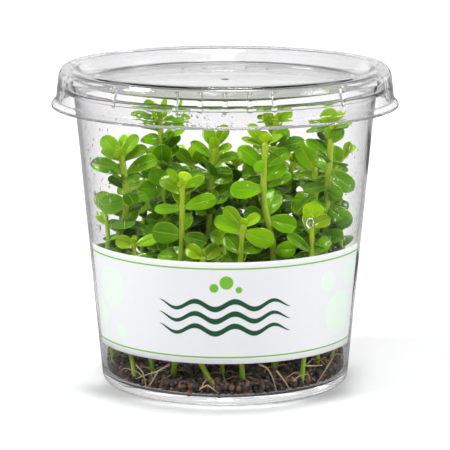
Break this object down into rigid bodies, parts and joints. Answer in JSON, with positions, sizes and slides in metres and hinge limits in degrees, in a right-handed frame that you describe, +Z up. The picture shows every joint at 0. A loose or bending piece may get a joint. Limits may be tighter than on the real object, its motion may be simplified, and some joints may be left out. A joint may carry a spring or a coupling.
{
  "type": "tissue culture lemon bacopa",
  "caption": "Lemon bacopa shoots growing from a bed of soil pellets in a clear round cup with a push-on lid and a plain wrap label.",
  "frame": {"origin": "centre of the cup's foot, on the surface that it stands on", "axes": "+Z up along the cup's axis, -Y out of the middle of the label, towards the viewer, +X to the viewer's right"},
  "size_m": [0.0758, 0.0758, 0.0697],
  "materials": {
    "clear_plastic": "clear, glossy, injection moulded",
    "label_film": "satin off-white film",
    "soil_pellets": "rough baked-clay pellets",
    "plant": "glossy living leaf and stem"
  },
  "bodies": {
    "root": {"cup": "clear_plastic", "lid": "clear_plastic", "label": "label_film", "soil": "soil_pellets", "shoot_left": "plant", "shoot_left_thin": "plant", "shoot_tall_left": "plant", "shoot_front_left": "plant", "shoot_centre": "plant", "shoot_centre_dark": "plant", "shoot_front_right": "plant", "shoot_tall_centre": "plant", "shoot_tall_right": "plant", "shoot_right_broad": "plant", "shoot_right_side": "plant", "shoot_front_short": "plant", "shoot_round_leaf": "plant", "shoot_low_left": "plant", "shoot_low_centre": "plant", "shoot_low_mid": "plant", "sprout_left": "plant", "sprout_right": "plant", "shoot_back_centre": "plant", "shoot_back_left": "plant", "shoot_back_right": "plant", "shoot_rear_left": "plant", "shoot_rear_centre": "plant", "shoot_rear_right": "plant", "shoot_side_right": "plant"}
  },
  "joints": []
}
